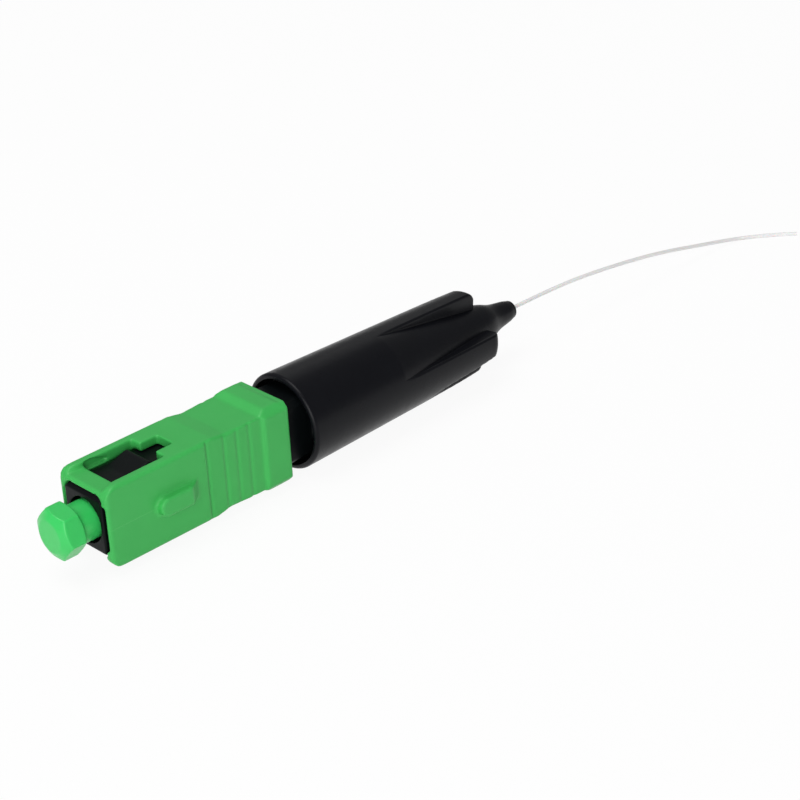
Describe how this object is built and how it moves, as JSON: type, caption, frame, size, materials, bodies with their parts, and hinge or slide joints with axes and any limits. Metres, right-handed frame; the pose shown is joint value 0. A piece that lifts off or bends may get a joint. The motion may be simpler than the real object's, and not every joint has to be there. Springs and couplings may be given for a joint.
{
  "type": "field installable fibre connector",
  "caption": "Push-pull fibre plug with a windowed grip, hexagonal dust cap, square neck and screwed tapered tail cap on a thin fibre.",
  "frame": {"origin": "on the optical axis, in the plane of the grip's front edge", "axes": "+X along the optical axis from the plug's mouth to the tail, +Z through the upper window face, the key is on the -Y face"},
  "size_m": [0.1109, 0.0112, 0.0108],
  "materials": {
    "grip_plastic": "satin moulded green",
    "cap_plastic": "glossy bright green",
    "black_plastic": "moulded black",
    "tail_plastic": "smooth moulded black",
    "ceramic": "polished white zirconia ceramic",
    "flange_metal": "nickel plated",
    "glass_fibre": "clear",
    "holder_plastic": "moulded natural",
    "splice_plastic": "moulded pale",
    "clip_steel": "spring steel",
    "spring_steel": "drawn wire",
    "clamp_rubber": "soft grey",
    "fibre_coating": "white coated fibre"
  },
  "bodies": {
    "connector_body": {"plug_frame": "black_plastic", "rear_body": "black_plastic", "fibre_guide": "holder_plastic", "clamp_insert": "clamp_rubber", "ferrule_spring": "spring_steel", "bare_fibre": "glass_fibre", "inner_fibre": "fibre_coating", "outer_fibre": "fibre_coating"},
    "grip": {"outer_housing": "grip_plastic"},
    "ferrule_unit": {"ferrule": "ceramic", "ferrule_flange": "flange_metal", "fibre_stub": "glass_fibre", "splice_holder": "holder_plastic", "splice_base": "splice_plastic", "splice_lid": "splice_plastic", "splice_clip": "clip_steel"},
    "dust_cover": {"dust_cap": "cap_plastic"},
    "jaw_ring": {"clamp_ring": "black_plastic"},
    "screw_cap": {"tail_cap": "tail_plastic"}
  },
  "joints": [
    {"name": "grip_slide", "type": "slide", "parent": "connector_body", "child": "grip", "axis": [1, 0, 0], "range_m": [0, 0.0015]},
    {"name": "ferrule_float", "type": "slide", "parent": "connector_body", "child": "ferrule_unit", "axis": [1, 0, 0], "range_m": [0, 0.0012], "stiffness_N_per_m": 1000, "deforming": ["ferrule_spring", "bare_fibre"]},
    {"name": "dust_cap_pull", "type": "slide", "parent": "connector_body", "child": "dust_cover", "axis": [-1, 0, 0], "range_m": [0, 0.009]},
    {"name": "jaw_ring_slide", "type": "slide", "parent": "connector_body", "child": "jaw_ring", "axis": [1, 0, 0], "range_m": [0, 0.003]},
    {"name": "tail_cap_turn", "type": "hinge", "parent": "jaw_ring", "child": "screw_cap", "pos_m": [0.03, 0, 0], "axis": [1, 0, 0], "range_deg": [0, 1080.5]}
  ],
  "couplings": [
    {"joint": "tail_cap_turn", "follows": "jaw_ring_slide", "rad_per_m": 6283.2}
  ]
}
